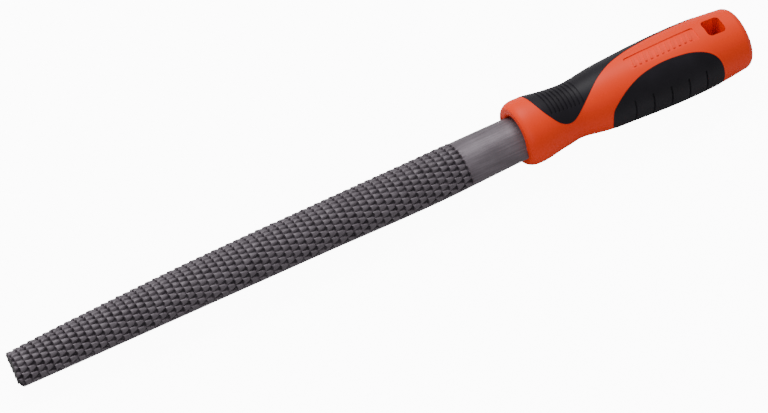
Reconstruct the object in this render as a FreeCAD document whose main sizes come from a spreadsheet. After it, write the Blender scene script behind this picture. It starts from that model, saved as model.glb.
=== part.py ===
import FreeCAD, Part
import Sketcher
import os

# Half-round wood rasp with a moulded two-material handle.
# The frame: +X runs along the tool from the tip of the blade to the butt of
# the handle, +Z points out of the crown of the half-round blade, and +Y is the
# thumb side of the handle.  Z = 0 is the lowest line of the handle.

V = FreeCAD.Vector

doc = FreeCAD.newDocument("WoodRasp")
sheet = doc.addObject("Spreadsheet::Sheet", "Dimensions")


def fill_sheet(rows):
    """Write name, value and meaning on one line each and alias the value."""
    for number, (alias, value, meaning) in enumerate(rows, start=1):
        sheet.set("A%d" % number, alias)
        sheet.set("B%d" % number, str(value))
        sheet.set("C%d" % number, meaning)
        sheet.setAlias("B%d" % number, alias)
    doc.recompute()


# name, distance from the mouth of the handle, half width, flat side above the
# handle axis, height of the crown above the flat side
BLADE_STATIONS = [
    ("point", -247.4, 9.33, -7.05, 5.99),
    ("nose", -231.0, 10.15, -6.10, 6.25),
    ("fore", -205.0, 10.95, -5.10, 6.60),
    ("bow", -180.0, 11.55, -4.35, 6.90),
    ("blend", -155.0, 12.05, -3.75, 7.20),
    ("middle", -125.0, 12.35, -3.60, 7.60),
    ("rear", -85.0, 12.60, -3.62, 7.87),
    ("heel", -42.0, 12.85, -3.58, 8.08),
    ("throat", -18.0, 12.45, -2.65, 8.00),
    ("seat", 5.6, 11.85, -1.95, 8.00),
]

# name, distance from the mouth, half width (Y), half thickness (Z),
# sideways shift of the section towards the thumb
HANDLE_STATIONS = [
    ("mouth", 0.8, 13.10, 12.40, 0.0),
    ("rim", 2.0, 14.20, 13.30, 0.0),
    ("lip", 3.8, 15.00, 13.95, 0.0),
    ("collar", 7.0, 15.30, 14.15, 0.0),
    ("shoulder", 11.0, 14.95, 14.00, 0.0),
    ("flare", 17.0, 13.85, 13.30, 0.0),
    ("neck", 22.0, 13.15, 12.75, 0.05),
    ("waist", 28.5, 12.55, 12.30, 0.2),
    ("rise", 34.0, 13.15, 12.70, 0.0),
    ("swell", 42.0, 14.40, 13.65, -0.1),
    ("back", 52.0, 15.10, 14.27, 0.0),
    ("grip", 64.0, 15.80, 14.77, 0.0),
    ("belly", 80.0, 16.26, 15.12, 0.0),
    ("rump", 94.0, 15.89, 14.86, 0.0),
    ("taper", 104.0, 15.00, 14.10, 0.0),
    ("butt", 113.4, 14.40, 13.40, 0.0),
]

PLAIN_ROWS = [
    ("mouth_from_origin", 66.0, "distance of the handle mouth from the origin"),
    ("axis_above_base", 15.12, "height of the handle axis above Z = 0"),
    ("nose_skew", 0.15, "how far the end runs back for each unit across"),
    ("nose_inset", 3.0, "material taken off ahead of the middle of the end"),
    ("nose_corner", 2.6, "length of the cut corner on the palm side"),
    ("nose_rounding", 1.6, "setback of the corner on the thumb side"),
    ("nose_corner_run", 0.75, "how far the cut corner runs back along the palm side"),
    ("nose_land", 1.4, "from the thumb edge to the start of the rounding"),
    ("nose_turn_run", 0.45, "how far the rounding runs back at its middle"),
    ("nose_turn_side", 0.5, "from the thumb edge to the middle of the rounding"),
    ("nose_overrun", 0.25, "how far the rounding ends outside the thumb edge"),
    ("nose_bevel", 0.9, "setback of the crown at the end face"),
    ("nose_bevel_drop", 1.2, "end of the bevel below the crown"),
    ("outline_clear", 3.0, "how far cutting outlines run clear of the blade"),
    ("flat_level", -3.5, "ground flat side from the handle axis"),
    ("flat_front", -112.0, "front end of the ground flat side, from the mouth"),
    ("flat_rear", -44.0, "rear end of the ground flat side, from the mouth"),
    ("flat_run_out", 16.0, "length over which the grinding runs out"),
    ("tang_root_width", 13.0, "width of the tang at the shoulder"),
    ("tang_root_height", 6.6, "height of the tang at the shoulder"),
    ("tang_end_width", 7.0, "width of the tang at its end"),
    ("tang_end_height", 4.2, "height of the tang at its end"),
    ("tang_end_place", 78.0, "end of the tang, from the handle mouth"),
    ("tang_lift", 1.6, "middle of the tang root above the handle axis"),
    ("tool_margin", 5.0, "how far the cutting tools stand out of the handle"),
    ("tool_side", 24.0, "how far the cutting tools reach to either side"),
    ("lip_radius", 1.5, "rounding of the outer edge of the mouth"),
    ("butt_radius", 4.6, "rounding of the edge of the butt"),
    ("bore_radius", 9.2, "radius of the open mouth"),
    ("bore_depth", 3.4, "depth of the open mouth"),
    ("bore_edge", 1.2, "rounding of the inner edge of the mouth"),
    ("inlay_depth", 1.6, "depth of the soft inlays"),
    ("inlay_proud", 0.12, "how far the soft inlays stand out"),
    ("rib_width", 0.85, "width of one groove between the thumb ribs"),
    ("rib_pitch", 1.96, "pitch of the thumb ribs"),
    ("rib_count", 9, "number of grooves on the thumb inlay"),
    ("rib_first", 15.6, "first thumb groove, from the mouth"),
    ("rib_depth", 0.55, "depth of the thumb grooves"),
    ("rib_reach", 6.1, "lowest Y of the thumb grooves, below the axis"),
    ("groove_width", 0.9, "width of one groove on the palm inlay"),
    ("groove_pitch", 8.75, "pitch of the palm grooves"),
    ("groove_count", 5, "number of palm grooves"),
    ("groove_first", 52.6, "first palm groove, from the mouth"),
    ("groove_depth", 0.6, "depth of the palm grooves"),
    ("groove_height", 13.6, "length of the palm grooves across the side"),
    ("panel_length", 34.8, "length of the recessed panel"),
    ("panel_width", 7.4, "width of the recessed panel"),
    ("panel_corner", 1.2, "corner radius of the recessed panel"),
    ("panel_place", 73.8, "middle of the panel, from the mouth"),
    ("panel_shift", 0.4, "middle of the panel towards the thumb"),
    ("panel_depth", 0.55, "depth of the recessed panel"),
    ("bar_count", 11, "number of raised bars on the panel"),
    ("bar_pitch", 2.8, "pitch of the raised bars"),
    ("bar_width", 1.1, "width of one raised bar"),
    ("bar_height", 5.0, "length of one raised bar across the tool"),
    ("bar_slant", 1.1, "lean of one raised bar along the tool"),
    ("bar_inset", 0.12, "top of the raised bars below the handle's skin"),
    ("hole_length", 8.8, "hang hole along the tool"),
    ("hole_width", 9.0, "hang hole across the tool"),
    ("hole_corner", 2.0, "corner radius of the hang hole"),
    ("hole_place", 99.8, "middle of the hang hole, from the mouth"),
    ("hole_shift", 0.4, "middle of the hang hole towards the thumb"),
]


def all_rows():
    """The plain dimensions and the station tables as sheet rows."""
    rows = list(PLAIN_ROWS)
    for name, place, half, flat, crown in BLADE_STATIONS:
        rows.append(("blade_%s_place" % name, place, "blade section from the mouth"))
        rows.append(("blade_%s_half" % name, half, "half width of the blade"))
        rows.append(("blade_%s_flat" % name, flat, "flat side from the handle axis"))
        rows.append(("blade_%s_crown" % name, crown, "crown above the flat side"))
    for name, place, half, thick, shift in HANDLE_STATIONS:
        rows.append(("grip_%s_place" % name, place, "handle section from the mouth"))
        rows.append(("grip_%s_half" % name, half, "half width of the handle"))
        rows.append(("grip_%s_thick" % name, thick, "half thickness of the handle"))
        rows.append(("grip_%s_shift" % name, shift, "shift towards the thumb"))
    return rows


def size(alias):
    """Read one value back from the sheet."""
    return float(sheet.get(alias))


def plane_of(body, role):
    """The origin plane of a body with the given role."""
    for feature in body.Origin.OriginFeatures:
        if feature.Role == role:
            return feature
    raise RuntimeError("no plane " + role)


def new_sketch(body, name, role, offset):
    """A sketch on an origin plane, moved along the normal by an expression."""
    sketch = body.newObject("Sketcher::SketchObject", name)
    sketch.AttachmentSupport = [(plane_of(body, role), "")]
    sketch.MapMode = "FlatFace"
    if offset:
        sketch.setExpression(".AttachmentOffset.Base.z", offset)
    return sketch


# ---------------------------------------------------------------- the blade

def blade_section(body, name):
    """Half-round section: a straight chord below and a round crown above."""
    place = "Dimensions.blade_%s_place + Dimensions.mouth_from_origin" % name
    sketch = new_sketch(body, "Section_" + name, "YZ_Plane", place)
    half = size("blade_%s_half" % name)
    flat = size("blade_%s_flat" % name) + size("axis_above_base")
    crown = size("blade_%s_crown" % name)
    left, right, top = V(-half, flat, 0), V(half, flat, 0), V(0, flat + crown, 0)
    sketch.addGeometry(Part.LineSegment(left, right), False)
    sketch.addGeometry(Part.Arc(right, top, left), False)
    add = sketch.addConstraint
    add(Sketcher.Constraint("Coincident", 0, 2, 1, 1))
    add(Sketcher.Constraint("Coincident", 0, 1, 1, 2))
    add(Sketcher.Constraint("Symmetric", 0, 1, 0, 2, -2))
    width = add(Sketcher.Constraint("DistanceX", 0, 1, 0, 2, 2 * half))
    height = add(Sketcher.Constraint("DistanceY", -1, 1, 0, 1, flat))
    radius = (half * half + crown * crown) / (2 * crown)
    bow = add(Sketcher.Constraint("Radius", 1, radius))
    prefix = "Dimensions.blade_%s_" % name
    sketch.setExpression("Constraints[%d]" % width, "2 * " + prefix + "half")
    sketch.setExpression("Constraints[%d]" % height,
                         prefix + "flat + Dimensions.axis_above_base")
    sketch.setExpression("Constraints[%d]" % bow,
                         "(%shalf ^ 2 + %scrown ^ 2) / (2 * %scrown)" % (prefix, prefix, prefix))
    return sketch


def tang_section(body, name, place, width, height, middle):
    """Rectangular section of the tang, held by four driving constraints."""
    sketch = new_sketch(body, name, "YZ_Plane", place)
    corners = [V(-1, 14, 0), V(1, 14, 0), V(1, 16, 0), V(-1, 16, 0)]
    for start in range(4):
        end = (start + 1) % 4
        sketch.addGeometry(Part.LineSegment(corners[start], corners[end]), False)
    add = sketch.addConstraint
    for start in range(4):
        add(Sketcher.Constraint("Coincident", start, 2, (start + 1) % 4, 1))
    add(Sketcher.Constraint("Vertical", 1))
    add(Sketcher.Constraint("Horizontal", 2))
    add(Sketcher.Constraint("Symmetric", 0, 1, 0, 2, -2))
    across = add(Sketcher.Constraint("DistanceX", 0, 1, 0, 2, 2.0))
    upright = add(Sketcher.Constraint("DistanceY", 1, 1, 1, 2, 2.0))
    base = add(Sketcher.Constraint("DistanceY", -1, 1, 0, 1, 14.0))
    sketch.setExpression("Constraints[%d]" % across, width)
    sketch.setExpression("Constraints[%d]" % upright, height)
    sketch.setExpression("Constraints[%d]" % base, middle + " - (" + height + ") / 2")
    return sketch


def close_outline(sketch, points):
    """Draw a closed outline of straight lines in a sketch."""
    for start in range(len(points)):
        end = (start + 1) % len(points)
        sketch.addGeometry(Part.LineSegment(points[start], points[end]), False)
    return sketch


def nose_outline(body):
    """Plan outline of the material cut away ahead of the end of the blade."""
    sketch = new_sketch(body, "NoseOutline", "XY_Plane", "")
    middle = size("blade_point_place") + size("nose_inset") + size("mouth_from_origin")
    half = size("blade_point_half")
    skew, corner, back = size("nose_skew"), size("nose_corner"), size("nose_rounding")
    ahead = middle - 3 * size("nose_inset")
    palm, thumb = -half + corner, half - size("nose_land")
    clear, thumb_end = size("outline_clear"), middle + skew * half
    corner_end = middle + skew * palm + size("nose_corner_run")
    return close_outline(sketch, [
        V(ahead, -half - clear, 0),
        V(corner_end + size("nose_corner_run"), -half - clear, 0),
        V(corner_end, -half, 0),
        V(middle + skew * palm, palm, 0),
        V(middle + skew * thumb, thumb, 0),
        V(thumb_end + size("nose_turn_run"), half - size("nose_turn_side"), 0),
        V(thumb_end + back, half + size("nose_overrun"), 0),
        V(thumb_end + 3 * back, half + clear, 0),
        V(ahead, half + clear, 0),
    ])


def bevel_outline(body):
    """Side outline of the thin wedge ground off the crown at the end."""
    sketch = new_sketch(body, "BevelOutline", "XZ_Plane", "")
    middle = size("blade_point_place") + size("nose_inset") + size("mouth_from_origin")
    base = size("blade_point_flat") + size("axis_above_base")
    crown = size("blade_point_crown")
    edge = middle - size("nose_skew") * size("blade_point_half")
    ahead, bevel = edge - size("outline_clear") - 1, size("nose_bevel")
    return close_outline(sketch, [
        V(ahead, base - 1, 0),
        V(edge, base, 0),
        V(edge + bevel, base + crown - size("nose_bevel_drop"), 0),
        V(edge + 3 * bevel, base + crown + 1, 0),
        V(ahead, base + crown + 1, 0),
    ])


def flat_outline(body):
    """Side outline of the thin layer ground off the flat side of the blade."""
    sketch = new_sketch(body, "FlatOutline", "XZ_Plane", "")
    mouth = size("mouth_from_origin")
    level = size("flat_level") + size("axis_above_base")
    front, rear = size("flat_front") + mouth, size("flat_rear") + mouth
    run_out = size("flat_run_out")
    return close_outline(sketch, [
        V(front, level, 0),
        V(rear, level, 0),
        V(rear + run_out, level - 2, 0),
        V(front - run_out, level - 2, 0),
    ])


def cut_through(body, name, sketch):
    """Pocket through everything on both sides of the sketch."""
    before = body.Shape.Volume
    pocket = body.newObject("PartDesign::Pocket", name)
    pocket.Profile = sketch
    pocket.Type = "ThroughAll"
    pocket.Midplane = True
    doc.recompute()
    body.Tip = pocket
    doc.recompute()
    if body.Shape.Volume > before - 0.5:
        raise RuntimeError(name + " cut nothing")
    return pocket


def make_blade():
    """One forging: the half-round blade, its shoulder and its tang."""
    body = doc.addObject("PartDesign::Body", "Blade")
    sections = [blade_section(body, row[0]) for row in BLADE_STATIONS]
    doc.recompute()
    loft = body.newObject("PartDesign::AdditiveLoft", "BladeLoft")
    loft.Profile = sections[0]
    loft.Sections = sections[1:]
    loft.Ruled = False
    doc.recompute()
    body.Tip = loft
    doc.recompute()
    cut_through(body, "NoseCut", nose_outline(body))
    cut_through(body, "NoseBevel", bevel_outline(body))
    cut_through(body, "FlatGrind", flat_outline(body))
    axis = "Dimensions.axis_above_base"
    mouth = "Dimensions.mouth_from_origin"
    root = tang_section(body, "TangRoot", "Dimensions.blade_seat_place + " + mouth,
                        "Dimensions.tang_root_width", "Dimensions.tang_root_height",
                        axis + " + Dimensions.tang_lift")
    end = tang_section(body, "TangEnd", "Dimensions.tang_end_place + " + mouth,
                       "Dimensions.tang_end_width", "Dimensions.tang_end_height", axis)
    doc.recompute()
    tang = body.newObject("PartDesign::AdditiveLoft", "TangLoft")
    tang.Profile = root
    tang.Sections = [end]
    tang.Ruled = True
    doc.recompute()
    body.Tip = tang
    doc.recompute()
    body.Label = "rasp_blade"
    return body


# --------------------------------------------------------------- the handle

def handle_section(name, layer, inset):
    """Oval section of the handle, brought in by an inset expression."""
    oval = doc.addObject("Part::Ellipse", "Oval_%s_%s" % (layer, name))
    prefix = "Dimensions.grip_%s_" % name
    turn = FreeCAD.Rotation(V(0, 1, 0), V(0, 0, 1), V(1, 0, 0), "ZXY")
    oval.Placement = FreeCAD.Placement(V(0, 0, 0), turn)
    oval.setExpression("MajorRadius", prefix + "half - " + inset)
    oval.setExpression("MinorRadius", prefix + "thick - " + inset)
    oval.setExpression(".Placement.Base.x", prefix + "place + Dimensions.mouth_from_origin")
    oval.setExpression(".Placement.Base.y", prefix + "shift")
    oval.setExpression(".Placement.Base.z", "Dimensions.axis_above_base")
    return oval


def handle_skin(layer, inset):
    """The handle's oval body, offset inwards by an inset expression."""
    ovals = [handle_section(row[0], layer, inset) for row in HANDLE_STATIONS]
    doc.recompute()
    loft = doc.addObject("Part::Loft", "Skin_" + layer)
    loft.Sections = ovals
    loft.Solid = True
    loft.Ruled = False
    doc.recompute()
    return loft


def end_edges(solid, place):
    """Indices of the edges of a solid that lie in the plane X = place."""
    found = []
    for number, edge in enumerate(solid.Shape.Edges, start=1):
        box = edge.BoundBox
        if abs(box.XMin - place) < 1e-3 and abs(box.XMax - place) < 1e-3:
            found.append(number)
    return found


def rounded_skin(layer, inset):
    """Handle body with its front and butt edges rounded."""
    skin = handle_skin(layer, inset)
    mouth = size("mouth_from_origin")
    lip, butt = size("lip_radius"), size("butt_radius")
    edges = [(number, lip, lip)
             for number in end_edges(skin, size("grip_mouth_place") + mouth)]
    place = size("grip_butt_place") + mouth
    edges += [(number, butt, butt) for number in end_edges(skin, place)]
    fillet = doc.addObject("Part::Fillet", "Rounded_" + layer)
    fillet.Base = skin
    fillet.Edges = edges
    doc.recompute()
    return fillet


def tool_bottom():
    """Level of the underside of the upright cutting tools."""
    return -size("tool_margin")


def tool_height():
    """Height of the upright cutting tools, right through the handle."""
    return 2 * size("axis_above_base") + 2 * size("tool_margin")


def prism(name, wire_points, closed_spline_runs):
    """Upright prism through the whole handle over a plan outline."""
    mouth, bottom = size("mouth_from_origin"), tool_bottom()
    edges = []
    for run in closed_spline_runs:
        points = [V(mouth + wire_points[i][0], wire_points[i][1], bottom) for i in run]
        if len(points) == 2:
            edges.append(Part.LineSegment(points[0], points[1]).toShape())
        else:
            curve = Part.BSplineCurve()
            curve.interpolate(points)
            edges.append(curve.toShape())
    wire = Part.Wire(edges)
    feature = doc.addObject("Part::Feature", name)
    feature.Shape = Part.Face(wire).extrude(V(0, 0, tool_height()))
    return feature


# An edge box this much wider than the bore still belongs to the bore.
SAME_WIDTH = 1.025

# Distance from the mouth and Y of the border of the thumb inlay.
THUMB_BORDER = [
    (9.9, 12.0), (10.0, 8.5), (10.5, 3.5), (11.5, -1.3), (12.9, -4.8), (14.7, -7.4),
    (16.7, -9.4), (18.8, -10.4), (21.6, -10.8), (24.2, -10.4), (27.0, -9.2),
    (30.0, -7.5), (34.2, -4.8), (38.3, -1.9), (42.3, 0.9), (46.4, 3.3), (50.5, 5.4),
    (55.0, 7.1), (61.0, 8.8), (68.0, 10.0), (75.0, 10.7), (84.0, 11.0), (92.0, 11.3),
    (96.5, 12.2), (98.5, 14.0), (99.2, 18.0), (99.2, 24.0), (9.6, 24.0), (9.7, 16.0),
]

# Distance from the mouth and Y of the border of the palm inlay.
PALM_BORDER = [
    (41.0, -24.0), (41.0, -17.0), (41.2, -15.0), (42.2, -13.6), (43.9, -12.7),
    (46.8, -11.4), (50.2, -9.9), (53.7, -8.6), (57.2, -7.5), (60.8, -6.7),
    (64.4, -6.2), (68.0, -5.9), (71.6, -5.85), (75.2, -6.0), (78.8, -6.4),
    (82.4, -6.9), (86.4, -7.9), (90.4, -9.4), (93.6, -11.4), (95.7, -13.8),
    (96.5, -17.0), (96.5, -24.0),
]


def rounded_outline(length, width, corner, place, shift, name):
    """Upright prism over a rectangle with round corners."""
    x0 = size("mouth_from_origin") + place
    half_x, half_y = length / 2, width / 2
    box = Part.makeBox(length, width, tool_height(), V(x0 - half_x, shift - half_y, tool_bottom()))
    upright = [edge for edge in box.Edges
               if abs(edge.Vertexes[0].Z - edge.Vertexes[1].Z) > 1]
    feature = doc.addObject("Part::Feature", name)
    feature.Shape = box.makeFillet(corner, upright)
    return feature


def bar_prism():
    """Upright prisms over a row of plain slanted bars on the panel."""
    width, half = size("bar_width") / 2, size("bar_height") / 2
    lean = size("bar_slant") / 2
    low_y, high_y = size("panel_shift") - half, size("panel_shift") + half
    bottom = tool_bottom()
    first = (size("mouth_from_origin") + size("panel_place")
             - size("bar_pitch") * (size("bar_count") - 1) / 2)
    bars = []
    for number in range(int(size("bar_count"))):
        x = first + number * size("bar_pitch")
        corners = [V(x - lean - width, low_y, bottom), V(x - lean + width, low_y, bottom),
                   V(x + lean + width, high_y, bottom), V(x + lean - width, high_y, bottom)]
        face = Part.Face(Part.makePolygon(corners + corners[:1]))
        bars.append(face.extrude(V(0, 0, tool_height())))
    feature = doc.addObject("Part::Feature", "BarPrisms")
    feature.Shape = Part.makeCompound(bars)
    return feature


def cut(name, base, tool):
    """Base minus tool, as a document object."""
    result = doc.addObject("Part::Cut", name)
    result.Refine = False
    result.Base = base
    result.Tool = tool
    doc.recompute()
    return result


def carve(name, base, tool):
    """A cut that has to take material away."""
    result = cut(name, base, tool)
    if result.Shape.Volume > base.Shape.Volume - 1:
        raise RuntimeError("%s cut nothing" % name)
    return result


def common(name, base, tool):
    """What base and tool share, as a document object."""
    result = doc.addObject("Part::Common", name)
    result.Refine = False
    result.Base = base
    result.Tool = tool
    doc.recompute()
    return result


def slabs(name, first, pitch, count, width, y_low, y_high, z_low, z_high):
    """A row of thin upright slabs across the tool that shape the grooves."""
    mouth = size("mouth_from_origin")
    boxes = []
    for number in range(int(count)):
        x = mouth + first + number * pitch - width / 2
        boxes.append(Part.makeBox(width, y_high - y_low, z_high - z_low, V(x, y_low, z_low)))
    feature = doc.addObject("Part::Feature", name)
    feature.Shape = Part.makeCompound(boxes)
    return feature


def make_handle(blade):
    """The hard core with its socket, panel and hang hole, and the two inlays."""
    outer = rounded_skin("outer", "0")
    proud = rounded_skin("proud", "(0 - Dimensions.inlay_proud)")
    inner = handle_skin("inner", "Dimensions.inlay_depth")
    thumb_runs = [list(range(0, 25)), [24, 25], [25, 26], [26, 27], [27, 28], [28, 0]]
    palm_runs = [[0, 1], list(range(1, 21)), [20, 21], [21, 0]]
    thumb_prism = prism("ThumbPrism", THUMB_BORDER, thumb_runs)
    palm_prism = prism("PalmPrism", PALM_BORDER, palm_runs)
    thumb_seat = cut("ThumbSeat", thumb_prism, inner)
    palm_seat = cut("PalmSeat", palm_prism, inner)

    core = cut("CoreThumb", outer, thumb_seat)
    core = cut("CorePalm", core, palm_seat)
    panel = rounded_outline(size("panel_length"), size("panel_width"), size("panel_corner"),
                            size("panel_place"), size("panel_shift"), "PanelPrism")
    panel_floor = handle_skin("panel", "Dimensions.panel_depth")
    bars = bar_prism()
    bar_tops = handle_skin("bar", "Dimensions.bar_inset")
    around = cut("PanelAround", panel, bars)
    core = carve("CorePanel", core, cut("PanelRecess", around, panel_floor))
    core = carve("CoreBars", core, cut("BarRecess", bars, bar_tops))
    hole = rounded_outline(size("hole_length"), size("hole_width"), size("hole_corner"),
                           size("hole_place"), size("hole_shift"), "HangHole")
    core = carve("CoreHole", core, hole)
    bore = doc.addObject("Part::Cylinder", "Bore")
    bore.Placement = FreeCAD.Placement(V(0, 0, 0), FreeCAD.Rotation(V(0, 1, 0), 90))
    bore.setExpression("Radius", "Dimensions.bore_radius")
    bore.setExpression("Height", "Dimensions.bore_depth + Dimensions.tool_margin")
    bore.setExpression(".Placement.Base.x", "Dimensions.mouth_from_origin - Dimensions.tool_margin")
    bore.setExpression(".Placement.Base.z", "Dimensions.axis_above_base")
    core = carve("CoreBore", core, bore)
    edges = [(number, size("bore_edge"), size("bore_edge"))
             for number in end_edges(core, size("grip_mouth_place") + size("mouth_from_origin"))
             if core.Shape.Edges[number - 1].BoundBox.YLength < SAME_WIDTH * 2 * size("bore_radius")]
    rounded = doc.addObject("Part::Fillet", "BoreEdge")
    rounded.Base = core
    rounded.Edges = edges
    doc.recompute()
    core = cut("Core", rounded, blade)
    core.Label = "handle_core"

    axis = size("axis_above_base")
    thumb_floor = handle_skin("rib", "Dimensions.rib_depth")
    ribs = slabs("RibSlabs", size("rib_first"), size("rib_pitch"), size("rib_count"),
                 size("rib_width"), -size("rib_reach"), size("tool_side"),
                 tool_bottom(), tool_bottom() + tool_height())
    ribbed = carve("RibbedSkin", proud, cut("RibTools", ribs, thumb_floor))
    thumb = common("Thumb", ribbed, thumb_seat)
    thumb.Label = "thumb_grip"

    palm_floor = handle_skin("groove", "Dimensions.groove_depth")
    reach = size("groove_height") / 2
    grooves = slabs("GrooveSlabs", size("groove_first"), size("groove_pitch"),
                    size("groove_count"), size("groove_width"), -size("tool_side"), 0.0,
                    axis - reach, axis + reach)
    grooved = carve("GroovedSkin", proud, cut("GrooveTools", grooves, palm_floor))
    palm = common("Palm", grooved, palm_seat)
    palm.Label = "palm_grip"
    return [core, thumb, palm]


def check_document():
    """Stop when any object failed or any sub-part is not a valid solid."""
    for item in doc.Objects:
        if "Invalid" in item.State or "Error" in item.State:
            raise RuntimeError("failed object " + item.Name)


def write_parts(nodes):
    """Check each sub-part and write it under its own name."""
    os.makedirs("parts", exist_ok=True)
    for node in nodes:
        shape = node.Shape
        if shape.isNull() or not shape.isValid():
            raise RuntimeError("bad shape " + node.Label)
        box = shape.BoundBox
        print(node.Label, "solids", len(shape.Solids), "volume %.1f" % shape.Volume,
              "x %.2f %.2f y %.2f %.2f z %.2f %.2f"
              % (box.XMin, box.XMax, box.YMin, box.YMax, box.ZMin, box.ZMax))
        shape.exportStep("parts/%s.step" % node.Label)


fill_sheet(all_rows())
blade_body = make_blade()
sub_parts = [blade_body] + make_handle(blade_body)
check_document()
write_parts(sub_parts)
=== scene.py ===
import math

import bmesh
import bpy
import numpy as np
from bpy.props import FloatProperty, FloatVectorProperty
from mathutils import Matrix, Vector


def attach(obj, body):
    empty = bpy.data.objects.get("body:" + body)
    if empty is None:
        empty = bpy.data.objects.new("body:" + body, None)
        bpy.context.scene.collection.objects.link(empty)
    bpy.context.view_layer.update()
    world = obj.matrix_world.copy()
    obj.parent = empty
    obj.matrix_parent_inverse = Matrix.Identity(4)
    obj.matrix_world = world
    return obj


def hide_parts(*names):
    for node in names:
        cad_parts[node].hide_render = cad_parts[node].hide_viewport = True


bl_info = {
    "name": "Half-round wood rasp",
    "version": (1, 0, 0),
    "blender": (4, 5, 0),
    "location": "View3D > Sidebar > Rasp",
    "description": "Models the blade, the two-material handle and the studio of a wood rasp",
    "category": "Object",
}

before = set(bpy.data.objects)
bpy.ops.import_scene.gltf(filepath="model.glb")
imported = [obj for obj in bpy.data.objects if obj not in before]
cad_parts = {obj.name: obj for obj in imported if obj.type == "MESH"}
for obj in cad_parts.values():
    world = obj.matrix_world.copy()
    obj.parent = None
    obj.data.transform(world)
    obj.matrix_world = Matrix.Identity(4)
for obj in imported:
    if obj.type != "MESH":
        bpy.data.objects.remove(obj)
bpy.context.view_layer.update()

MM = 0.001
MOUTH_X = 66.0 * MM
AXIS_Z = 15.12 * MM
# places along the tool from the handle's mouth, in millimetres
TIP_MIDDLE = -244.4
SHOULDER = 5.6
TANG_END = 78.0

# distance from the handle's mouth, half width, flat side from the handle
# axis, crown above the flat side, all in millimetres
BLADE_STATIONS = (
    (-247.4, 9.33, -7.05, 5.99),
    (-231.0, 10.15, -6.10, 6.25),
    (-205.0, 10.95, -5.10, 6.60),
    (-180.0, 11.55, -4.35, 6.90),
    (-155.0, 12.05, -3.75, 7.20),
    (-125.0, 12.35, -3.50, 7.50),
    (-85.0, 12.60, -3.50, 7.75),
    (-42.0, 12.85, -3.50, 8.00),
    (-18.0, 12.45, -2.65, 8.00),
    (5.6, 11.85, -1.95, 8.00),
)


# ------------------------------------------------------------ small helpers

def deselect_all():
    if bpy.context.object and bpy.context.object.mode != "OBJECT":
        bpy.ops.object.mode_set(mode="OBJECT")
    bpy.ops.object.select_all(action="DESELECT")


def make_active(obj):
    deselect_all()
    obj.select_set(True)
    bpy.context.view_layer.objects.active = obj


def apply_modifiers(obj):
    make_active(obj)
    for modifier in list(obj.modifiers):
        bpy.ops.object.modifier_apply(modifier=modifier.name)


def read_points(obj):
    co = np.empty(len(obj.data.vertices) * 3)
    obj.data.vertices.foreach_get("co", co)
    return co.reshape(-1, 3)


def write_points(obj, points):
    obj.data.vertices.foreach_set("co", np.ascontiguousarray(points).ravel())
    obj.data.update()


def settle(obj):
    """Put the place of a piece into its mesh."""
    make_active(obj)
    bpy.ops.object.transform_apply(location=True, rotation=True, scale=True)


def join(target, others):
    deselect_all()
    for other in others:
        other.select_set(True)
    target.select_set(True)
    bpy.context.view_layer.objects.active = target
    bpy.ops.object.join()
    return target


def edit_clean(obj, distance, recalc=True):
    """Merge doubles, drop what is loose and point the faces outwards."""
    make_active(obj)
    bpy.ops.object.mode_set(mode="EDIT")
    bpy.ops.mesh.select_all(action="SELECT")
    bpy.ops.mesh.remove_doubles(threshold=distance)
    bpy.ops.mesh.select_all(action="SELECT")
    bpy.ops.mesh.dissolve_degenerate(threshold=distance * 0.5)
    bpy.ops.mesh.select_all(action="SELECT")
    bpy.ops.mesh.delete_loose()
    if recalc:
        bpy.ops.mesh.select_all(action="SELECT")
        bpy.ops.mesh.normals_make_consistent(inside=False)
    bpy.ops.mesh.select_all(action="DESELECT")
    bpy.ops.object.mode_set(mode="OBJECT")


def smooth_by_angle(obj, degrees):
    make_active(obj)
    bpy.ops.object.shade_smooth_by_angle(angle=math.radians(degrees))


# ------------------------------------------------------------ blade geometry

def spline_through(places, values, at):
    """Natural cubic spline through the stations, read at many places."""
    x = np.asarray(places, float)
    y = np.asarray(values, float)
    n = len(x)
    gap = np.diff(x)
    system = np.eye(n)
    right = np.zeros(n)
    for i in range(1, n - 1):
        system[i, i - 1] = gap[i - 1]
        system[i, i] = 2 * (gap[i - 1] + gap[i])
        system[i, i + 1] = gap[i]
        right[i] = 3 * ((y[i + 1] - y[i]) / gap[i] - (y[i] - y[i - 1]) / gap[i - 1])
    c = np.linalg.solve(system, right)
    b = np.diff(y) / gap - gap * (2 * c[:-1] + c[1:]) / 3
    d = np.diff(c) / (3 * gap)
    at = np.clip(at, x[0] - 4, x[-1])
    k = np.clip(np.searchsorted(x, at) - 1, 0, n - 2)
    t = at - x[k]
    return y[k] + b[k] * t + c[k] * t * t + d[k] * t ** 3


def blade_section_at(s):
    """Half width, flat height and crown height in millimetres at places s."""
    table = np.array(BLADE_STATIONS)
    half = spline_through(table[:, 0], table[:, 1], s)
    flat = spline_through(table[:, 0], table[:, 2], s)
    crown = spline_through(table[:, 0], table[:, 3], s)
    return half, flat, crown


# columns of points over one row, measured from the cutting face, in millimetres
ROW_COLUMNS = (-3.0, -2.4, -1.8, -1.25, -0.75, -0.3, -0.04, 0.12, 0.35)
PIT_LENGTH = 3.0
TOOTH_LENGTH = 3.9
# where the cutting face starts ahead of the row line, and its length
FACE_START, FACE_RUN = 0.06, 0.16
# powers that round the back and the sides of a tooth
BACK_CURVE, SIDE_CURVE, SHOULDER_CURVE = 2.2, 3.2, 0.75
# half width of a pit at its tail, what it gains up to the face, and its curves
PIT_TAIL, PIT_GAIN, PIT_FLARE, PIT_DIVE, PIT_BOWL = 0.10, 1.12, 1.1, 0.6, 0.8


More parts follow.
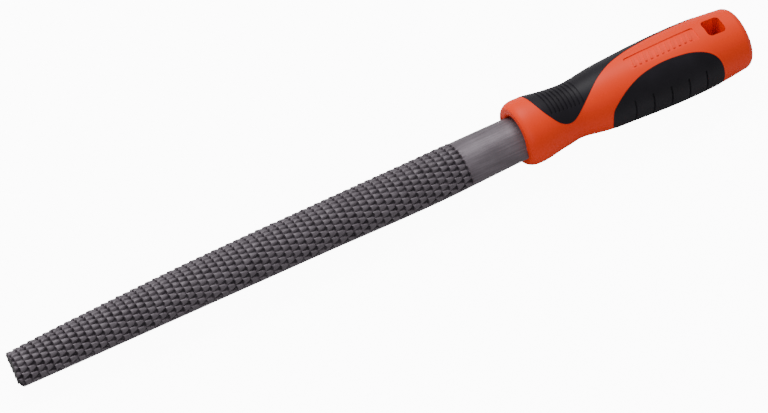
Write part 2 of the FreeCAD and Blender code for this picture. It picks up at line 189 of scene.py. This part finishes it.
def tooth_relief(along, across, pitch, rise, pit_depth):
    """Rise and pit of one tooth; along is measured back from its cutting face."""
    half = 0.5 * pitch
    climb = np.clip((along + FACE_START) / FACE_RUN, 0, 1)
    fall = 1 - np.clip(along / TOOTH_LENGTH, 0, 1) ** BACK_CURVE
    side = np.clip(1 - np.abs(across / (1.03 * half)) ** SIDE_CURVE, 0, 1)
    bump = rise * climb * fall * side ** SHOULDER_CURVE
    run = np.clip((along + PIT_LENGTH) / PIT_LENGTH, 0, 1)
    wide = PIT_TAIL + PIT_GAIN * run ** PIT_FLARE
    bowl = np.clip(1 - (across / wide) ** 2, 0, 1)
    pit = pit_depth * run ** PIT_DIVE * bowl ** PIT_BOWL * (along < 0.02)
    return bump, pit


def shape_tile(points, size):
    """Set the heights of the two-row tile from its plan coordinates."""
    x, y = points[:, 0] / MM, points[:, 1] / MM
    top = np.zeros(len(x))
    low = np.zeros(len(x))
    for row in range(-1, 4):
        shift = 0.5 * size.tooth_pitch * (row % 2)
        for tooth in range(-2, 4):
            bump, pit = tooth_relief(x - row * size.row_pitch,
                                     y - (tooth * size.tooth_pitch + shift),
                                     size.tooth_pitch, size.tooth_rise, size.pit_depth)
            top = np.maximum(top, bump)
            low = np.maximum(low, pit)
    points[:, 2] = (top * (1 - 0.8 * np.clip(low / size.pit_depth, 0, 1)) - low
                    - size.base_depth) * MM
    return points


def toothed_sheet(name, size, rows, teeth, steps):
    """A flat sheet of staggered teeth, from one tile and two Array modifiers."""
    columns = np.array(ROW_COLUMNS)
    stations = np.concatenate([columns, columns + size.row_pitch,
                               [2 * size.row_pitch - PIT_LENGTH]])
    bpy.ops.mesh.primitive_grid_add(x_subdivisions=len(stations) - 1, y_subdivisions=steps,
                                    size=1.0, location=(0, 0, 0))
    tile = bpy.context.object
    tile.name = name
    points = read_points(tile)
    column = np.rint((points[:, 0] + 0.5) * (len(stations) - 1)).astype(int)
    points[:, 0] = stations[column] * MM
    points[:, 1] = (points[:, 1] + 0.5) * size.tooth_pitch * MM
    write_points(tile, shape_tile(points, size))
    for axis, count, pitch in ((0, rows // 2, 2 * size.row_pitch),
                               (1, teeth, size.tooth_pitch)):
        array = tile.modifiers.new("Row", "ARRAY")
        array.count = count
        array.use_relative_offset = False
        array.use_constant_offset = True
        offset = [0, 0, 0]
        offset[axis] = pitch * MM
        array.constant_offset_displace = offset
        array.use_merge_vertices = True
        array.merge_threshold = 0.004 * MM
    apply_modifiers(tile)
    points = read_points(tile)
    points[:, 1] -= 0.5 * teeth * size.tooth_pitch * MM
    write_points(tile, points)
    return tile


# how far the middle of a cutting face stands behind its corners, the reach of
# that bow, and the spread of the differences from tooth to tooth, in millimetres
FACE_BOW, FACE_REACH = 0.46, 1.1
SPREAD_ALONG, SPREAD_ACROSS, SPREAD_RISE, SPREAD_SCALE, SPREAD_TILT = 0.10, 0.06, 0.09, 0.10, 0.05
# the front of the blade is cut more roughly: how much, and over what length
FRONT_ROUGHNESS, FRONT_LENGTH = 0.4, 90.0


def tooth_wobble(plain, size, rows, seed):
    """Curved cutting faces and small differences from tooth to tooth."""
    points = plain.copy()
    x, y = plain[:, 0] / MM, plain[:, 1] / MM
    random = np.random.default_rng(seed)
    row = np.floor((x + PIT_LENGTH - 0.01) / size.row_pitch).astype(int)
    along = x - row * size.row_pitch
    lane = y / size.tooth_pitch - 0.5 * (row % 2)
    tooth = np.rint(lane).astype(int)
    across = lane - tooth
    table = np.clip(random.normal(0, 1, (160, 40, 4)), -1.7, 1.7)
    pick = table[row % 160, tooth % 40]
    near_face = np.clip(1 - np.abs(along) / FACE_REACH, 0, 1)
    centred = 1 - (2 * across) ** 2
    points[:, 0] += FACE_BOW * (centred - 0.5) * near_face * MM
    points[:, 0] += SPREAD_ALONG * pick[:, 0] * centred * near_face * MM
    points[:, 1] += SPREAD_ACROSS * pick[:, 1] * centred * MM
    rough = 1 + FRONT_ROUGHNESS * np.clip(1 - x / FRONT_LENGTH, 0, 1)
    rise = points[:, 2] / MM * (1 + 0.45 * (rough - 1))
    pick = pick * rough[:, None]
    taller = SPREAD_RISE * pick[:, 2] * centred * near_face
    rise = rise + np.where(rise > -size.base_depth, taller, 0)
    rise = rise * (1 + SPREAD_SCALE * pick[:, 3] * centred)
    slope = SPREAD_TILT * pick[:, 1] * (2 * across)
    points[:, 2] = (rise + slope * near_face) * MM
    last_face = (rows - 1) * size.row_pitch
    fade = np.clip(1 - (x - last_face - 0.10) / (size.row_pitch - PIT_LENGTH - 0.10), 0, 1)
    points[:, 2] *= fade
    end = x > rows * size.row_pitch - PIT_LENGTH - 0.02
    points[end] = plain[end]
    points[end, 2] = 0
    return points


def wrap_sheet(obj, size, side, first_s, plain):
    """Lay a flat sheet on the crown or the flat side of the blade."""
    points = read_points(obj)
    edge_s = first_s + plain[:, 0] / MM
    half, flat, crown = blade_section_at(edge_s)
    if side == "crown":
        radius = (half ** 2 + crown ** 2) / (2 * crown)
        limit = radius * np.arctan2(half, radius - crown)
    else:
        radius = half
        limit = half
    beyond = np.abs(plain[:, 1] / MM) >= limit - 0.12
    s = np.where(beyond, edge_s, first_s + points[:, 0] / MM)
    half, flat, crown = blade_section_at(s)
    across = np.clip(points[:, 1] / MM, -limit, limit)
    lift = points[:, 2] / MM
    room = np.clip((limit - np.abs(across)) / size.edge_band, 0, 1)
    lift = np.where(lift > 0, lift * room, lift * room)
    if side == "crown":
        centre = flat + crown - radius
        angle = across / radius
        y = (radius + lift) * np.sin(angle)
        z = centre + (radius + lift) * np.cos(angle)
    else:
        y = across
        z = flat - lift
    y = np.where(beyond, np.sign(across) * half, y)
    z = np.where(beyond, flat, z)
    out = np.stack([MOUTH_X + s * MM, y * MM, AXIS_Z + z * MM], axis=1)
    write_points(obj, out)
    relief = obj.data.attributes.new("relief", "FLOAT", "POINT")
    relief.data.foreach_set("value", np.where(beyond, 0.0, lift))


def plain_sheet(name, steps, width, length, count):
    """A plain sheet whose columns match those of the toothed sheet."""
    bpy.ops.mesh.primitive_grid_add(x_subdivisions=count, y_subdivisions=steps, size=1.0)
    sheet = bpy.context.object
    sheet.name = name
    points = read_points(sheet)
    points[:, 0] = (points[:, 0] + 0.5) * length * MM
    points[:, 1] *= width * MM
    points[:, 2] = 0
    write_points(sheet, points)
    return sheet


def fill_open_ends(obj):
    """Close the two ends of the blade with flat caps."""
    mesh = bmesh.new()
    mesh.from_mesh(obj.data)
    edges = [edge for edge in mesh.edges if edge.is_boundary]
    loops = bmesh.ops.holes_fill(mesh, edges=edges, sides=0)
    faces = loops["faces"]
    bmesh.ops.triangulate(mesh, faces=faces)
    mesh.to_mesh(obj.data)
    mesh.free()


def bisect_piece(obj, point, normal):
    """Cut the piece with a plane, drop what lies along the normal, close it."""
    make_active(obj)
    bpy.ops.object.mode_set(mode="EDIT")
    bpy.ops.mesh.select_all(action="SELECT")
    bpy.ops.mesh.bisect(plane_co=point, plane_no=normal, use_fill=True,
                        clear_outer=True, clear_inner=False)
    bpy.ops.mesh.select_all(action="DESELECT")
    bpy.ops.object.mode_set(mode="OBJECT")


# place, width, height and middle above the handle axis, in millimetres
TANG_ROOT = (SHOULDER - 0.8, 13.0, 6.6, 1.6)
TANG_TIP = (TANG_END, 7.0, 4.2, 0.0)


def build_tang():
    """The tapered tang that runs from the shoulder into the handle."""
    bpy.ops.mesh.primitive_cube_add(size=1.0, location=(0, 0, 0))
    tang = bpy.context.object
    points = read_points(tang)
    rear = points[:, 0] > 0
    x, width, height, middle = (np.where(rear, end, root)
                                for end, root in zip(TANG_TIP, TANG_ROOT))
    out = np.stack([MOUTH_X + x * MM, points[:, 1] * width * MM,
                    AXIS_Z + (middle + points[:, 2] * height) * MM], axis=1)
    write_points(tang, out)
    return tang


def build_blade(size):
    """The toothed half-round blade with its smooth heel."""
    heel_start = -size.heel_length
    rows = int(math.ceil((size.toothed_length + 6) / size.row_pitch))
    rows += rows % 2
    first_s = heel_start - rows * size.row_pitch + PIT_LENGTH
    pieces = []
    for side, teeth, steps, seed in (("crown", 12, 8, 7), ("flat", 10, 6, 11)):
        sheet = toothed_sheet("sheet_" + side, size, rows, teeth, steps)
        plain = read_points(sheet)
        write_points(sheet, tooth_wobble(plain, size, rows, seed))
        wrap_sheet(sheet, size, side, first_s, plain)
        heel = plain_sheet("plain_" + side, teeth * steps, teeth * size.tooth_pitch,
                           size.heel_length + SHOULDER, 16)
        wrap_sheet(heel, size, side, heel_start, read_points(heel))
        pieces += [sheet, heel]
    blade = join(pieces[0], pieces[1:])
    edit_clean(blade, 0.012 * MM)
    return blade


# the sawn front end: how far it runs back for each unit across, half width,
# length of the cut corner, and the setback of the rounded corner, in millimetres
END_SKEW = 0.15
END_HALF = 9.45
PALM_CORNER = 2.6
THUMB_BACK, THUMB_SIDE = 0.3, 0.5
PALM_NORMAL, THUMB_NORMAL = (-1.0, -0.55, 0), (-1.0, 0.9, 0)
# faces this near the end that point this much forwards belong to the sawn end
END_REACH, END_FACING = 6.0, -0.55


def end_blade(blade):
    """Trim the front end, close both ends and add the tang."""
    fill_open_ends(blade)
    edit_clean(blade, 0.004 * MM)
    end_x = MOUTH_X + (TIP_MIDDLE + 0.1) * MM
    bisect_piece(blade, (end_x, 0, 0), (-1, END_SKEW, 0))
    palm_y = (PALM_CORNER - END_HALF) * MM
    bisect_piece(blade, (end_x + END_SKEW * palm_y, palm_y, 0), PALM_NORMAL)
    thumb_x = end_x + (END_SKEW * END_HALF + THUMB_BACK) * MM
    bisect_piece(blade, (thumb_x, (END_HALF - THUMB_SIDE) * MM, 0), THUMB_NORMAL)
    join(blade, [build_tang()])


def mark_end_faces(blade):
    """Give the upright sawn faces of the front end the second material, which paints shade on them.
    """
    limit = MOUTH_X + (TIP_MIDDLE + END_REACH) * MM
    for face in blade.data.polygons:
        upright = abs(face.normal.z) < 0.02
        if upright and face.normal.x < END_FACING and face.center.x < limit:
            face.material_index = 1


# ----------------------------------------------------------- handle geometry

# distance from the handle's mouth, half width, half thickness, sideways
# shift, all in millimetres
HANDLE_STATIONS = (
    (0.8, 13.10, 12.40, 0.0), (2.0, 14.20, 13.30, 0.0), (3.8, 15.00, 13.95, 0.0),
    (7.0, 15.30, 14.15, 0.0), (11.0, 14.95, 14.00, 0.0), (17.0, 13.85, 13.30, 0.0),
    (22.0, 13.15, 12.75, 0.05), (28.5, 12.55, 12.30, 0.2), (34.0, 13.15, 12.70, 0.0),
    (42.0, 14.40, 13.65, -0.1), (52.0, 15.10, 14.27, 0.0), (64.0, 15.80, 14.77, 0.0),
    (80.0, 16.26, 15.12, 0.0), (94.0, 15.89, 14.86, 0.0), (104.0, 15.00, 14.10, 0.0),
    (113.4, 14.40, 13.40, 0.0),
)
# a face this close to the skin's direction (degrees) and level (millimetres)
# is shaded as skin, and so is a sliver of this area that lies on the skin
SKIN_ANGLE = 16.0
SKIN_DEPTH = 0.9
SLIVER_AREA, SLIVER_DEPTH = 0.03, 0.06
CREASE_ANGLE = 32.0


def skin_at(points):
    """Outward normal of the oval skin near each point, and height above it."""
    table = np.array(HANDLE_STATIONS)
    s = (points[:, 0] - MOUTH_X) / MM
    half, thick, shift = (spline_through(table[:, 0], table[:, k], s) for k in (1, 2, 3))
    step = 0.2
    slopes = [(spline_through(table[:, 0], table[:, k], s + step)
               - spline_through(table[:, 0], table[:, k], s - step)) / (2 * step)
              for k in (1, 2, 3)]
    y = points[:, 1] / MM - shift
    z = (points[:, 2] - AXIS_Z) / MM
    value = (y / half) ** 2 + (z / thick) ** 2
    normal = np.stack([-y * y / half ** 3 * slopes[0] - z * z / thick ** 3 * slopes[1]
                       - y / half ** 2 * slopes[2], y / half ** 2, z / thick ** 2], axis=1)
    normal /= np.linalg.norm(normal, axis=1)[:, None]
    height = (np.sqrt(value) - 1) * np.sqrt(y * y + z * z) / np.maximum(np.sqrt(value), 1e-6)
    return normal, height


def smooth_skin(obj):
    """Shade the faces of the oval skin with its true normals, the rest by angle."""
    smooth_by_angle(obj, CREASE_ANGLE)
    mesh = obj.data
    corner_normals = np.array([corner.vector for corner in mesh.corner_normals])
    skin_normal, height = skin_at(read_points(obj))
    centres = np.array([face.center for face in mesh.polygons])
    centre_normal, _ = skin_at(centres)
    face_normal = np.array([face.normal for face in mesh.polygons])
    close = (face_normal * centre_normal).sum(axis=1) > math.cos(math.radians(SKIN_ANGLE))
    for face in mesh.polygons:
        around = np.abs(height[list(face.vertices)])
        thin = face.area < SLIVER_AREA * MM * MM and around.max() < SLIVER_DEPTH
        if (close[face.index] and around.max() < SKIN_DEPTH) or thin:
            for corner in face.loop_indices:
                corner_normals[corner] = skin_normal[mesh.loops[corner].vertex_index]
    mesh.normals_split_custom_set([tuple(normal) for normal in corner_normals])


# ---------------------------------------------------------------- materials

def new_material(name):
    material = bpy.data.materials.new(name)
    material.use_nodes = True
    nodes = material.node_tree.nodes
    nodes.clear()
    out = nodes.new("ShaderNodeOutputMaterial")
    shader = nodes.new("ShaderNodeBsdfPrincipled")
    material.node_tree.links.new(shader.outputs["BSDF"], out.inputs["Surface"])
    return material, material.node_tree, shader


def add_noise(tree, scale, detail, stretch=(1, 1, 1), roughness=0.5):
    coords = tree.nodes.new("ShaderNodeTexCoord")
    mapping = tree.nodes.new("ShaderNodeMapping")
    mapping.inputs["Scale"].default_value = stretch
    noise = tree.nodes.new("ShaderNodeTexNoise")
    noise.inputs["Scale"].default_value = scale
    noise.inputs["Detail"].default_value = detail
    noise.inputs["Roughness"].default_value = roughness
    tree.links.new(coords.outputs["Object"], mapping.inputs["Vector"])
    tree.links.new(mapping.outputs["Vector"], noise.inputs["Vector"])
    return noise.outputs["Fac"]


def add_ramp(tree, value, stops):
    ramp = tree.nodes.new("ShaderNodeValToRGB")
    elements = ramp.color_ramp.elements
    elements[0].position, elements[0].color = stops[0][0], (*stops[0][1], 1)
    elements[1].position, elements[1].color = stops[-1][0], (*stops[-1][1], 1)
    for place, colour in stops[1:-1]:
        element = elements.new(place)
        element.color = (*colour, 1)
    tree.links.new(value, ramp.inputs["Fac"])
    return ramp.outputs["Color"]


def add_range(tree, value, low, high, from_low=0.0, from_high=1.0):
    node = tree.nodes.new("ShaderNodeMapRange")
    node.inputs["From Min"].default_value = from_low
    node.inputs["From Max"].default_value = from_high
    node.inputs["To Min"].default_value = low
    node.inputs["To Max"].default_value = high
    tree.links.new(value, node.inputs["Value"])
    return node.outputs["Result"]


def add_bump(tree, height, distance, strength=1.0, normal=None):
    bump = tree.nodes.new("ShaderNodeBump")
    bump.inputs["Distance"].default_value = distance
    bump.inputs["Strength"].default_value = strength
    tree.links.new(height, bump.inputs["Height"])
    if normal:
        tree.links.new(normal, bump.inputs["Normal"])
    return bump.outputs["Normal"]


def mix_colour(tree, factor, first, second, mode="MIX"):
    mix = tree.nodes.new("ShaderNodeMix")
    mix.data_type = "RGBA"
    mix.blend_type = mode
    for socket, value in ((mix.inputs[0], factor), (mix.inputs[6], first), (mix.inputs[7], second)):
        if isinstance(value, (int, float)):
            socket.default_value = value
        elif isinstance(value, tuple):
            socket.default_value = (*value, 1)
        else:
            tree.links.new(value, socket)
    return mix.outputs[2]


def steel_material():
    """Dark hardened steel, brushed along the heel, with painted shade darkening the pits and the
    tooth tops a little darker.
    """
    material, tree, shader = new_material("dark_hardened_steel")
    relief = tree.nodes.new("ShaderNodeAttribute")
    relief.attribute_name = "relief"
    height = relief.outputs["Fac"]
    cloud = add_noise(tree, 140, 4)
    streaks = add_noise(tree, 1500, 4, stretch=(0.035, 1, 1), roughness=0.65)
    fine = add_noise(tree, 2600, 4, roughness=0.7)
    base = add_ramp(tree, cloud, ((0.3, (0.138, 0.119, 0.135)), (0.7, (0.172, 0.152, 0.170))))
    brushed = add_ramp(tree, streaks, ((0.28, (0.60, 0.59, 0.60)), (0.72, (1.28, 1.26, 1.28))))
    grain = add_ramp(tree, fine, ((0.25, (0.84, 0.83, 0.84)), (0.75, (1.15, 1.14, 1.15))))
    colour = mix_colour(tree, 0.75, base, brushed, "MULTIPLY")
    colour = mix_colour(tree, 0.7, colour, grain, "MULTIPLY")
    # painted shade: the deeper a point lies in a pit, the more its colour goes towards the
    # near-black below
    pit_shade = add_range(tree, height, 0.9, 0.0, -0.80, -0.24)
    colour = mix_colour(tree, pit_shade, colour, (0.066, 0.058, 0.068))
    dull = add_range(tree, height, 0.0, 0.5, 0.02, 0.22)
    colour = mix_colour(tree, dull, colour, (0.100, 0.089, 0.100))
    tree.links.new(colour, shader.inputs["Base Color"])
    shader.inputs["Metallic"].default_value = 0.35
    shader.inputs["Specular IOR Level"].default_value = 0.35
    tree.links.new(add_range(tree, streaks, 0.40, 0.58), shader.inputs["Roughness"])
    normal = add_bump(tree, streaks, 0.00005, 0.6)
    tree.links.new(add_bump(tree, fine, 0.00006, 0.6, normal), shader.inputs["Normal"])
    return material


def end_shade_material():
    """Steel of the sawn front end, painted near black as painted shade of faces turned away from
    the light.
    """
    material, tree, shader = new_material("sawn_end_painted_shade")
    cloud = add_noise(tree, 600, 3)
    # painted shade: the sawn end is coloured far darker than the blade because it faces away from
    # the light
    colour = add_ramp(tree, cloud, ((0.3, (0.020, 0.018, 0.021)),
                                    (0.7, (0.034, 0.030, 0.035))))
    tree.links.new(colour, shader.inputs["Base Color"])
    shader.inputs["Metallic"].default_value = 0.2
    shader.inputs["Specular IOR Level"].default_value = 0.3
    tree.links.new(add_range(tree, cloud, 0.5, 0.65), shader.inputs["Roughness"])
    return material


def grain_group():
    """Node group of the fine moulded grain that both plastics share."""
    group = bpy.data.node_groups.get("moulded_grain")
    if group:
        return group
    group = bpy.data.node_groups.new("moulded_grain", "ShaderNodeTree")
    group.interface.new_socket(name="Scale", in_out="INPUT", socket_type="NodeSocketFloat")
    group.interface.new_socket(name="Grain", in_out="OUTPUT", socket_type="NodeSocketFloat")
    group.interface.new_socket(name="Normal", in_out="OUTPUT", socket_type="NodeSocketVector")
    inlet = group.nodes.new("NodeGroupInput")
    outlet = group.nodes.new("NodeGroupOutput")
    grain = add_noise(group, 1.0, 2)
    group.links.new(inlet.outputs["Scale"], grain.node.inputs["Scale"])
    group.links.new(grain, outlet.inputs["Grain"])
    group.links.new(add_bump(group, grain, 0.00003, 0.5), outlet.inputs["Normal"])
    return group


def add_grain(tree, shader, scale, smooth, rough):
    """Give a plastic its moulded grain, with a roughness between two values."""
    node = tree.nodes.new("ShaderNodeGroup")
    node.node_tree = grain_group()
    node.inputs["Scale"].default_value = scale
    roughness = add_range(tree, node.outputs["Grain"], smooth, rough)
    tree.links.new(roughness, shader.inputs["Roughness"])
    tree.links.new(node.outputs["Normal"], shader.inputs["Normal"])


def plastic_material():
    """Orange hard plastic with a fine moulded grain."""
    material, tree, shader = new_material("orange_hard_plastic")
    cloud = add_noise(tree, 60, 3)
    colour = add_ramp(tree, cloud, ((0.3, (0.93, 0.041, 0.002)), (0.7, (0.98, 0.048, 0.003))))
    tree.links.new(colour, shader.inputs["Base Color"])
    shader.inputs["Specular IOR Level"].default_value = 0.22
    add_grain(tree, shader, 2600, 0.42, 0.52)
    return material


def grip_material():
    """Black soft plastic, nearly matt, with a fine grain and faint dust."""
    material, tree, shader = new_material("black_soft_grip")
    cloud = add_noise(tree, 90, 4)
    colour = add_ramp(tree, cloud, ((0.3, (0.0085, 0.0072, 0.0105)),
                                    (0.7, (0.0135, 0.0115, 0.0165))))
    tree.links.new(colour, shader.inputs["Base Color"])
    shader.inputs["Specular IOR Level"].default_value = 0.19
    add_grain(tree, shader, 3200, 0.42, 0.54)
    return material


def floor_material(stage):
    """Pale floor that the camera sees as bright as an overexposed sweep."""
    material, tree, shader = new_material("pale_floor")
    shader.inputs["Base Color"].default_value = (*stage.floor_colour, 1)
    shader.inputs["Roughness"].default_value = 0.9
    shader.inputs["Emission Color"].default_value = (1, 1, 1, 1)
    path = tree.nodes.new("ShaderNodeLightPath")
    glow = add_range(tree, path.outputs["Is Camera Ray"], 0.0, stage.floor_glow)
    tree.links.new(glow, shader.inputs["Emission Strength"])
    return material


# ---------------------------------------------------------------- properties

class RASP_PG_blade(bpy.types.PropertyGroup):
    """Sizes of the blade and its teeth, in millimetres."""

    row_pitch: FloatProperty(name="Row pitch", description="Rows of teeth along the blade, in mm",
                             default=3.6, min=1.0)
    tooth_pitch: FloatProperty(name="Tooth pitch", description="Teeth across a row, in mm",
                               default=2.95, min=1.0)
    tooth_rise: FloatProperty(name="Tooth rise", description="Height of a tooth, in mm",
                              default=0.72, min=0.1)
    pit_depth: FloatProperty(name="Pit depth", description="Depth of a punch pit, in mm",
                             default=0.80, min=0.0)
    base_depth: FloatProperty(name="Base depth",
                              description="Valleys under the plain surface, in mm",
                              default=0.30, min=0.0)
    edge_band: FloatProperty(name="Edge band",
                             description="Width over which teeth fade to the edge, in mm",
                             default=1.0, min=0.05)
    toothed_length: FloatProperty(name="Toothed length",
                                  description="Toothed part of the blade, in mm", default=220.5)
    heel_length: FloatProperty(name="Smooth heel",
                               description="Smooth part up to the handle's mouth, in mm",
                               default=26.4)


class RASP_PG_stage(bpy.types.PropertyGroup):
    """The studio."""

    floor_colour: FloatVectorProperty(name="Floor", description="Colour of the floor",
                                      subtype="COLOR", size=3, default=(0.6, 0.6, 0.6))
    floor_glow: FloatProperty(name="Floor glow",
                              description="Brightness the camera adds to the floor",
                              default=11.0, min=0.0)
    world_strength: FloatProperty(name="World", description="Strength of the even light all round",
                                  default=0.40, min=0.0)
    key_power: FloatProperty(name="Key light", description="Power of the main light",
                             unit="POWER", default=11.5)


# ----------------------------------------------------------------- operators

class RASP_OT_blade(bpy.types.Operator):
    """Model the blade with its teeth, smooth heel and cut end"""

    bl_idname = "rasp.blade"
    bl_label = "Blade"

    def execute(self, context):
        size = context.scene.rasp_blade
        blade = build_blade(size)
        end_blade(blade)
        blade.name = "blade"
        settle(blade)
        smooth_by_angle(blade, 38)
        blade.data.materials.clear()
        blade.data.materials.append(steel_material())
        blade.data.materials.append(end_shade_material())
        mark_end_faces(blade)
        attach(blade, "root")
        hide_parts("rasp_blade")
        return {"FINISHED"}


class RASP_OT_handle(bpy.types.Operator):
    """Finish the hard core of the handle and its two soft inlays"""

    bl_idname = "rasp.handle"
    bl_label = "Handle"

    def execute(self, context):
        grip = grip_material()
        for node, slot, material in (("handle_core", "hard_plastic", plastic_material()),
                                     ("thumb_grip", "soft_grip", grip),
                                     ("palm_grip", "soft_grip", grip)):
            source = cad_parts[node]
            piece = source.copy()
            piece.data = source.data.copy()
            piece.parent = None
            for key in list(piece.keys()):
                del piece[key]
            context.scene.collection.objects.link(piece)
            piece.name = node + "_finished"
            edit_clean(piece, 0.003 * MM, recalc=False)
            smooth_skin(piece)
            piece.data.materials.clear()
            piece.data.materials.append(material)
            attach(piece, "root")
            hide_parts(node)
        return {"FINISHED"}


class RASP_OT_stage(bpy.types.Operator):
    """Set the floor, the soft lights and the camera"""

    bl_idname = "rasp.stage"
    bl_label = "Studio"

    def execute(self, context):
        stage = context.scene.rasp_stage
        build_floor(stage)
        build_lights(stage)
        build_camera(context)
        return {"FINISHED"}


CAMERA_AZIMUTH, CAMERA_ELEVATION = -30.0, 51.04
CAMERA_DISTANCE = 4.0
SENSOR_WIDTH, LENS = 36.0, 437.8125
# how far the handle's mouth lies to the right of and above the view's middle
MOUTH_RIGHT, MOUTH_UP = 55.375 * MM, 29.722 * MM


def build_floor(stage):
    bpy.ops.mesh.primitive_plane_add(size=6.0, location=(0, 0, 0))
    floor = bpy.context.object
    floor.name = "floor"
    settle(floor)
    floor.data.materials.append(floor_material(stage))


def area_light(name, place, aim, size, power, colour=(1, 1, 1)):
    data = bpy.data.lights.new(name, "AREA")
    data.shape = "RECTANGLE"
    data.size, data.size_y = size
    data.energy = power
    data.color = colour
    light = bpy.data.objects.new(name, data)
    bpy.context.scene.collection.objects.link(light)
    light.location = place
    light.rotation_euler = (Vector(aim) - Vector(place)).to_track_quat("-Z", "Y").to_euler()
    return light


def build_lights(stage):
    world = bpy.data.worlds.new("studio")
    bpy.context.scene.world = world
    world.use_nodes = True
    background = world.node_tree.nodes["Background"]
    background.inputs["Color"].default_value = (1.0, 1.0, 1.0, 1)
    background.inputs["Strength"].default_value = stage.world_strength
    middle = (0.0, 0.0, AXIS_Z)
    area_light("key", (0.0, 0.55, 0.85), middle, (0.9, 0.5), stage.key_power)
    area_light("fill", (-0.5, -0.7, 0.7), middle, (0.6, 0.6), stage.key_power * 0.2)


def build_camera(context):
    """A long lens from the tip side, above, as far off as keeps the view flat."""
    azimuth, elevation = math.radians(CAMERA_AZIMUTH), math.radians(CAMERA_ELEVATION)
    forward = Vector((math.sin(-azimuth) * math.cos(elevation),
                      math.cos(azimuth) * math.cos(elevation), -math.sin(elevation)))
    right = Vector((math.cos(azimuth), math.sin(azimuth), 0))
    up = right.cross(forward)
    mouth = Vector((MOUTH_X, 0, AXIS_Z))
    data = bpy.data.cameras.new("camera")
    data.sensor_width = SENSOR_WIDTH
    data.lens = LENS
    data.clip_end = 50.0
    camera = bpy.data.objects.new("camera", data)
    context.scene.collection.objects.link(camera)
    place = mouth - forward * CAMERA_DISTANCE - right * MOUTH_RIGHT - up * MOUTH_UP
    rotation = Matrix((right, up, -forward)).transposed()
    camera.matrix_world = Matrix.Translation(place) @ rotation.to_4x4()
    context.scene.camera = camera


# --------------------------------------------------------------------- panel

class RASP_PT_panel(bpy.types.Panel):
    """Sidebar panel with the steps of the rasp"""

    bl_idname = "RASP_PT_panel"
    bl_label = "Rasp"
    bl_space_type = "VIEW_3D"
    bl_region_type = "UI"
    bl_category = "Rasp"

    def draw(self, context):
        layout = self.layout
        for operator in OPERATORS:
            layout.operator(operator.bl_idname)
        blade = context.scene.rasp_blade
        for name in ("row_pitch", "tooth_pitch", "tooth_rise", "pit_depth"):
            layout.prop(blade, name)
        layout.prop(context.scene.rasp_stage, "floor_colour")


OPERATORS = (RASP_OT_blade, RASP_OT_handle, RASP_OT_stage)
CLASSES = (RASP_PG_blade, RASP_PG_stage) + OPERATORS + (RASP_PT_panel,)


def register():
    for cls in CLASSES:
        bpy.utils.register_class(cls)
    bpy.types.Scene.rasp_blade = bpy.props.PointerProperty(type=RASP_PG_blade)
    bpy.types.Scene.rasp_stage = bpy.props.PointerProperty(type=RASP_PG_stage)


def unregister():
    del bpy.types.Scene.rasp_stage
    del bpy.types.Scene.rasp_blade
    for cls in reversed(CLASSES):
        bpy.utils.unregister_class(cls)


def main():
    register()
    bpy.ops.rasp.blade()
    bpy.ops.rasp.handle()
    bpy.ops.rasp.stage()


if __name__ == "__main__":
    main()
